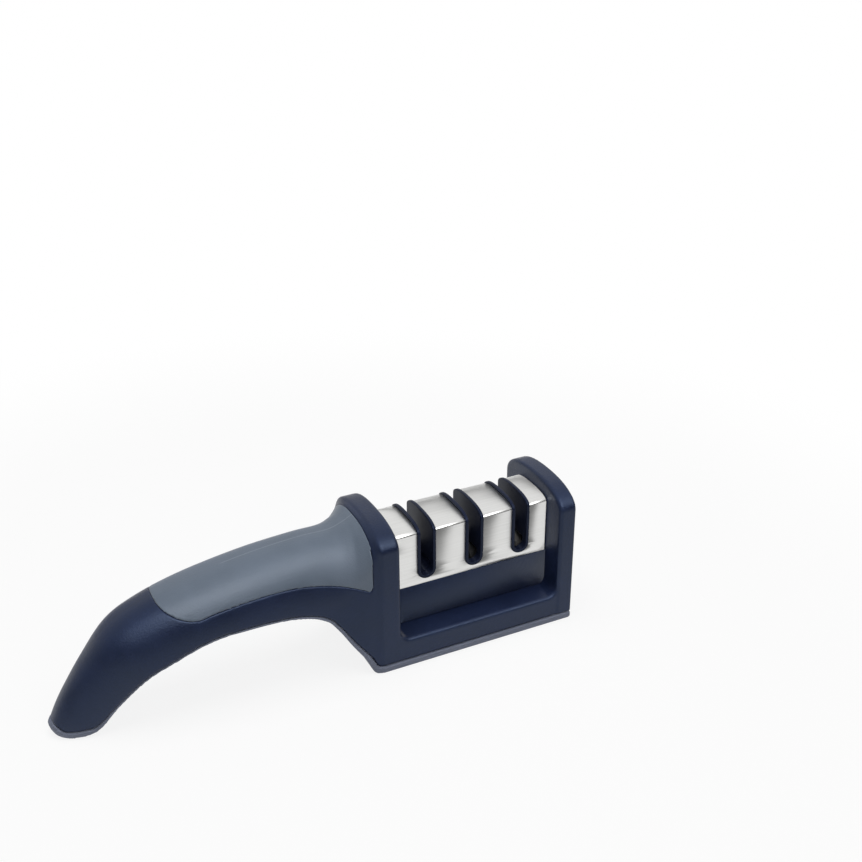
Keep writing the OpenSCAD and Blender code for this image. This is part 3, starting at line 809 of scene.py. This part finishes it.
def moulded(name, light, dark, roughness, grain_mm, grain_depth, **constants):
    """A moulded plastic with a fine eroded grain."""
    made = Finish(name, **constants)
    drift = made.noise(DRIFT_MM, detail=3)
    made.colour = made.blend(drift.between(0.35, 0.65), dark, light)
    made.set(base_color=made.colour)
    made.set(roughness=drift.between(0.3, 0.7, roughness - 0.04, roughness + 0.05))
    grain = made.noise(grain_mm, detail=3, roughness=0.65)
    fine_grain = made.noise(grain_mm * 0.4, detail=2)
    made.relief(grain + fine_grain * 0.5, grain_depth)
    return made


# The line's colour is painted light: painted shade on the housing, a painted highlight on the grip.
def mould_line(finish, x0, x1):
    """A mask of the fine line along the crest, which fades out at both ends."""
    x, y, z = finish.axes()
    span = x.between(x0, x0 + LINE_FADE) * x.between(x1, x1 - LINE_FADE)
    above = z.between(base_z + LINE_RISE[0], base_z + LINE_RISE[1])
    return abs(y).between(MOULD_LINE, MOULD_LINE / 2) * span * above

# %% Finish: navy plastic
NAVY_SHEEN = (0.60, 0.75, 1.0, 1)
LINE_SHADE = (0.003, 0.004, 0.008)
navy = moulded(
    "navy_plastic", light=(0.0084, 0.0140, 0.042), dark=(0.0072, 0.0120, 0.036), roughness=0.36,
    grain_mm=0.70, grain_depth=0.09, specular_ior_level=0.45, specular_tint=NAVY_SHEEN,
)
# The crest's mould line gets painted shade: LINE_SHADE stands for the dark of a groove.
painted_groove_shade = mould_line(navy, tip_x, head_x)
navy.set(base_color=navy.blend(painted_groove_shade, navy.colour, LINE_SHADE))
dress(housing, navy, "body_shell")
housing.visible_glossy = False
dress(wall_skin, navy, "body_shell")

# %% [markdown]
# ## The soft grip
# The inlay is a slate rubber-like skin moulded into its bed. It is the same solid as the bed,
# cut from the handle's own form, so its surface runs on without a step, and the softened edges
# of both pieces leave the fine dark groove that shows round it.

# %% Grip
CREST_START = 0.55
CREST_HIGHLIGHT = (0.24, 0.27, 0.31)
grip = combine(handle_form("grip"), "INTERSECT", bed)
soften(grip, voxel=0.35, passes=5, keep=0.6)
slate = moulded(
    "slate_grip", light=(0.116, 0.147, 0.194), dark=(0.101, 0.131, 0.175), roughness=0.40,
    grain_mm=0.70, grain_depth=0.10, specular_ior_level=0.50,
)
# The grip's crest line is painted pale: a painted highlight, as on a thin ridge that catches light.
crest = mould_line(slate, tip_x + CREST_START * handle_l, head_x)
slate.set(base_color=slate.blend(crest, slate.colour, CREST_HIGHLIGHT))
dress(grip, slate, "handle_grip")

# %% [markdown]
# ## The grey cover
# A thin cover closes the head and the handle from below and stands out past the housing by
# less than a millimetre, as a pale line round the whole foot. It is cut from the same handle
# form, widened by that lip, and joined to a flat plate under the head.

# %% Outlines seen from above
BOX_CORNER_STEPS = 8
BOX_CORNERS = ((1, 1), (0, 1), (0, 0), (1, 0))
DISC_POINTS = 40


def rounded_box(low, high, radius):
    """The (x, y) outline of a rectangle with round corners."""
    outline = []
    for turn, (at_end, at_far_side) in enumerate(BOX_CORNERS):
        x = high[0] - radius if at_end else low[0] + radius
        y = high[1] - radius if at_far_side else low[1] + radius
        for a in np.linspace(0, math.pi / 2, BOX_CORNER_STEPS + 1) + turn * math.pi / 2:
            outline.append((x + radius * math.cos(a), y + radius * math.sin(a)))
    return outline


def upright_prism(name, outline, z0, z1):
    """An (x, y) outline pulled upward."""
    return loft(name, [[(x, y, z) for x, y in outline] for z in (z0, z1)])


def disc(x, y, radius):
    """The (x, y) outline of a circle."""
    angles = np.arange(DISC_POINTS) * 2 * math.pi / DISC_POINTS
    return [(x + radius * math.cos(a), y + radius * math.sin(a)) for a in angles]

# %% Bottom cover
COVER_EDGE = 0.9
PAD_R = 3.0
TIP_PAD_R = 1.5
SCREW_HEAD_D = 5.6
SCREW_SEAT = 1.0
pad_low, pad_high = corners_mm("base_pad")
tip_pad_low, tip_pad_high = corners_mm("tip_pad")
zone = across("cover_zone", below(edge_line), -reach, reach)
panel = loft("panel", [section(row, GRIP_T + WALL + PLAY, 0, OVERRUN) for row in hollow_rows])
combine(panel, "INTERSECT", across("panel_zone", below(panel_line), -reach, reach))
combine(zone, "UNION", panel)
cover = combine(handle_form("cover", cover_half - half_w), "INTERSECT", zone)
foot = rounded_box((cover_x0, -cover_half), (end_x, cover_half), COVER_EDGE)
combine(cover, "UNION", upright_prism("cover_foot", foot, base_z, parting_z))
pad_bed = rounded_box(pad_low[:2] - PLAY, pad_high[:2] + PLAY, PAD_R + PLAY)
tip_bed = rounded_box(tip_pad_low[:2] - PLAY, tip_pad_high[:2] + PLAY, TIP_PAD_R + PLAY)
screw_z = max(row[1] for row in handle_rows)
screw_bed = disc(handle_screw_x, 0, SCREW_HEAD_D / 2)
combine(
    cover, "DIFFERENCE",
    upright_prism("pad_bed", pad_bed, -OVERRUN, pad_high[2]),
    upright_prism("tip_bed", tip_bed, -OVERRUN, tip_pad_high[2]),
    upright_prism("screw_bed", screw_bed, screw_z - OVERRUN, screw_z + SCREW_SEAT),
)
soften(cover, voxel=0.4, passes=3, keep=0.5)

# %% Finish: grey cover
grey = moulded(
    "grey_cover", light=(0.155, 0.172, 0.228), dark=(0.138, 0.154, 0.206), roughness=0.5,
    grain_mm=0.5, grain_depth=0.02, specular_ior_level=0.3,
)
dress(cover, grey, "bottom_cover")

# %% [markdown]
# ## The non-slip pads
# Under the head lies a dark rubber pad with fine ribs across it, and a small one sits under the
# tip. A shallow field is cut into the pad's underside inside a plain rim. A row of bars is taken
# out of that field first, so each bar stays on the pad as a rib, with a foot that is wider than
# its crest. The ribs are real, and catch light when the sharpener lies on its back.

# %% Pads
RIB_PITCH = 2.0
RIB_DEPTH = 0.35
RIB_HALF = 0.45
RIB_FOOT_HALF = 0.6
RIB_REACH = 1.0
PAD_MARGIN = 1.6
LEAST_R = 0.4


def rib_outline(x, low_z):
    """The (x, z) outline of one rib, which reaches past the field below and above."""
    under_z = low_z - RIB_REACH
    foot_z = low_z + RIB_DEPTH + RIB_REACH
    crest = [(x - RIB_HALF, under_z), (x + RIB_HALF, under_z), (x + RIB_HALF, low_z)]
    return crest + [(x + RIB_FOOT_HALF, foot_z), (x - RIB_FOOT_HALF, foot_z), (x - RIB_HALF, low_z)]


def ribbed_pad(name, low, high, radius):
    """A slab with a plain rim and a ribbed underside."""
    pad = upright_prism(name, rounded_box(low[:2], high[:2], radius), low[2], high[2])
    field_r = max(radius - PAD_MARGIN, LEAST_R)
    field_outline = rounded_box(low[:2] + PAD_MARGIN, high[:2] - PAD_MARGIN, field_r)
    field = upright_prism("field", field_outline, low[2] - OVERRUN, low[2] + RIB_DEPTH)
    count = int((high[0] - low[0] - 2 * PAD_MARGIN) / RIB_PITCH)
    start = (low[0] + high[0] - count * RIB_PITCH) / 2
    places = [start + (i + 0.5) * RIB_PITCH for i in range(count)]
    ribs = [across("rib", rib_outline(x, low[2]), low[1], high[1]) for x in places]
    combine(field, "DIFFERENCE", *ribs)
    combine(pad, "DIFFERENCE", field)
    return crisp(pad, width=0.08, segments=2, angle=30)


rubber = moulded(
    "dark_rubber", light=(0.030, 0.030, 0.033), dark=(0.024, 0.024, 0.027), roughness=0.68,
    grain_mm=0.4, grain_depth=0.02,
)
base_pad = ribbed_pad("base_pad_ribbed", pad_low, pad_high, PAD_R)
dress(base_pad, rubber, "base_pad")
tip_pad = ribbed_pad("tip_pad_ribbed", tip_pad_low, tip_pad_high, TIP_PAD_R)
dress(tip_pad, rubber, "tip_pad")

# %% [markdown]
# ## The steel cover
# A sheet of stainless steel, 0.6 mm thick, is bent over the slotted block: straight sides, a
# tight bend at each shoulder and a gently crowned top. Its outline is drawn once outside and
# once inside and pulled along the head, then three slots with round bottoms are cut through.
# A voxel skin would blur the thin sheet, so here the edges get a narrow bevel instead.

# %% Outlines of the steel and its slots
STEEL_T = 0.6
SHOULDER_Z = 50.5
STEEL_SIDE_POWER = 2.66
STEEL_TOP_POWER = 2.02
SLOT_W = 7.8
SLOT_WEB = 2.1
SIDE_STEPS = 5
BEND_STEPS = 36
SLOT_STEPS = 24
steel_half = steel_high[1]
steel_top = steel_high[2]
steel_foot = steel_low[2]
slot_floor = steel_foot - PLAY + SLOT_WEB
print("the slots' floor lies at", round(slot_floor, 1), "mm")


def bent(side, top, foot):
    """The sheet's outline, or one that stands out of its sides and its top."""
    heights = np.linspace(foot, SHOULDER_Z, SIDE_STEPS + 1)[:-1]
    points = [(steel_half + side, z) for z in heights]
    for a in np.linspace(0, math.pi / 2, BEND_STEPS + 1):
        y = (steel_half + side) * max(math.cos(a), 0) ** (2 / STEEL_SIDE_POWER)
        z = SHOULDER_Z + (steel_top + top - SHOULDER_Z) * math.sin(a) ** (2 / STEEL_TOP_POWER)
        points.append((y, z))
    return points + [(-y, z) for y, z in points[-2::-1]]


def slot_outline(x, width, floor_z):
    """A slot in side view: straight sides, round bottom, open above."""
    r = width / 2
    angles = np.linspace(math.pi, 2 * math.pi, SLOT_STEPS + 1)
    arc = [(x + r * math.cos(a), floor_z + r + r * math.sin(a)) for a in angles]
    return [(x - r, near_top)] + arc + [(x + r, near_top)]


def slot_tool(name, x, width, floor_z):
    """A slot as a solid that reaches right across the head."""
    return across(name, slot_outline(x, width, floor_z), -reach, reach)

# %% Steel cover
NEAR_GAP = 0.2
FAR_GAP = 0.4
sheet_outline = bent(0, 0, steel_foot) + bent(-STEEL_T, -STEEL_T, steel_foot)[::-1]
steel = along("steel", sheet_outline, steel_low[0] + NEAR_GAP, steel_high[0] - FAR_GAP)
slots = [slot_tool("slot", x, SLOT_W, slot_floor) for x in slot_places]
combine(steel, "DIFFERENCE", *slots)
crisp(steel, width=0.12, segments=2, angle=40)

# %% [markdown]
# ## Brushed steel
# The brushing runs along the head. Noise that is stretched along x draws the scratches, in
# colour, roughness and a bump of less than a thousandth of a millimetre. Anisotropic gloss then
# smears each reflection across the scratches. Blender takes the scratches' direction from
# circles round the middle of the mesh's texture space, so that middle is moved a metre behind
# the head, where such a circle is as good as a straight line.

# %% Finish: brushed steel
TEXTURE_MIDDLE = (0.06, 1.0, 0.04)
brushed = Finish("brushed_steel", metallic=1.0, anisotropic=0.6, anisotropic_rotation=0.0)
steel.data.use_auto_texspace = False
steel.data.texspace_location = TEXTURE_MIDDLE
lines = brushed.noise(1.0, detail=4, roughness=0.6, stretch=(0.02, 4.0, 4.0))
fine_lines = brushed.noise(1.0, detail=2, roughness=0.5, stretch=(0.05, 11.0, 11.0))
patches = brushed.noise(9, detail=2)
tone = brushed.blend(lines.between(0.3, 0.7), (0.72, 0.72, 0.705), (0.80, 0.80, 0.79))
brushed.set(base_color=tone, roughness=lines * 0.08 + patches * 0.06 + 0.23)
brushed.relief(lines + fine_lines * 0.7, 0.0008)
dress(steel, brushed, "steel_cover")

# %% [markdown]
# ## The slotted block
# Inside the steel sits a dark moulded block. Three slots run through it, and the walls of each
# slot rise out of the steel, by almost a millimetre on top and less at the sides, as the dark
# rims that keep a blade off the metal. Each rim is a slot's solid cut to a crowned form that is
# that much wider than the steel, and the opening is cut through it afterwards.

# %% Slotted block
RIM_PROUD = 0.9
RIM_SIDE_PROUD = 0.35
RIM_T = 1.35
block_x = (block_low[0], block_high[0])
inset = -STEEL_T - PLAY
stem_half = foot_half - PLAY
top_part = along("slotted_block", bent(inset, inset, steel_foot), *block_x)
stem_low = (block_x[0], -stem_half, block_low[2])
stem = block("stem", stem_low, (block_x[1], stem_half, steel_foot + OVERRUN))
rims = []
for x in slot_places:
    rim = slot_tool("rim", x, SLOT_W - PLAY, slot_floor + PLAY / 2)
    crown = along("rim_form", bent(RIM_SIDE_PROUD, RIM_PROUD, steel_foot), *block_x)
    rims.append(combine(rim, "INTERSECT", crown))
slotted = combine(top_part, "UNION", stem, *rims)
print("block and rims joined:", len(slotted.data.polygons), "faces")

# %% Openings and pockets
POCKET_HALF_L = 6.6
POCKET_HALF_W = 8.6
POCKET_HEAD = 1.0
pocket_top = axle_z + wheel_r + POCKET_HEAD
pocket_foot = block_low[2] - OVERRUN
for x in slot_places:
    pocket_low = (x - POCKET_HALF_L, -POCKET_HALF_W, pocket_foot)
    pocket_high = (x + POCKET_HALF_L, POCKET_HALF_W, pocket_top)
    opening = slot_tool("opening", x, SLOT_W - 2 * RIM_T, slot_floor + RIM_T)
    combine(slotted, "DIFFERENCE", opening, block("pocket", pocket_low, pocket_high))
soften(slotted, voxel=0.2, passes=3, keep=0.3)

# %% Finish: black plastic
black = moulded(
    "black_plastic", light=(0.0105, 0.0140, 0.0330), dark=(0.0088, 0.0118, 0.0280), roughness=0.34,
    grain_mm=0.35, grain_depth=0.01, specular_ior_level=0.15, specular_tint=NAVY_SHEEN,
)
dress(slotted, black, "slot_block")

# %% [markdown]
# ## What lies in the slots
# The imported pieces inside the slots already have their true shapes, so they keep them and only
# get finishes. Diamond grit is a rough dark speckle bonded to metal, and the ceramic is dense
# and a little lighter. Both wheels are painted darker than they really are, as painted shade of
# the deep slots round them; the real ceramic is pale.

# %% Finishes of the wheels
grit = Finish("diamond_grit", metallic=0.2, specular_ior_level=0.3)
grains = grit.noise(0.18, detail=2, roughness=0.7)
grain_mix = grains.between(0.35, 0.7)
# The grit's dark colour is partly its own and partly painted shade of the deep slot.
grit.set(base_color=grit.blend(grain_mix, (0.020, 0.020, 0.022), (0.06, 0.06, 0.06)))
grit.set(roughness=grains.between(0.3, 0.7, 0.8, 0.5))
grit.relief(grains, 0.05)
paint(grit, "diamond_wheel_near", "diamond_wheel_far")

# Dark grey instead of pale: painted shade of the deep slot.
ceramic = moulded(
    "ceramic_with_painted_shade", light=(0.17, 0.165, 0.16), dark=(0.14, 0.135, 0.13), roughness=0.5,
    grain_mm=0.25, grain_depth=0.015,
)
paint(ceramic, "ceramic_wheel_near", "ceramic_wheel_far")

# %% [markdown]
# ## Blades, screws and axles
# Carbide shows the straight lines of its grinding, which is noise stretched along z. Zinc plate
# has a cloudy bloom, and black oxide is a dark metal with a fine tooth. The holders and cradles
# are moulded from the block's own plastic.

# %% Finishes of the metal pieces and their holders
carbide = Finish("ground_carbide", metallic=1.0, base_color=(0.16, 0.16, 0.18, 1))
scores = carbide.noise(1.0, detail=3, roughness=0.6, stretch=(6.0, 6.0, 0.3))
carbide.set(roughness=scores * 0.2 + 0.22)
carbide.relief(scores, 0.006)
paint(carbide, "carbide_blade_near", "carbide_blade_far")

zinc = Finish("zinc_plate", metallic=1.0)
bloom = zinc.noise(2.5, detail=3)
zinc.set(base_color=zinc.blend(bloom, (0.52, 0.53, 0.55), (0.66, 0.66, 0.66)))
zinc.set(roughness=bloom * 0.15 + 0.22)
zinc.relief(zinc.noise(0.3), 0.005)
paint(zinc, "diamond_axle", "ceramic_axle", "plate_screws", "module_screws", "cover_screws")

oxide = Finish("black_oxide", metallic=1.0, base_color=(0.06, 0.06, 0.065, 1))
oxide.set(roughness=oxide.noise(1.5, detail=3) * 0.2 + 0.3)
oxide.relief(oxide.noise(0.25), 0.006)
paint(oxide, "blade_screws")
paint(black, "module_plate", "carbide_holder", "diamond_cradle", "ceramic_cradle")
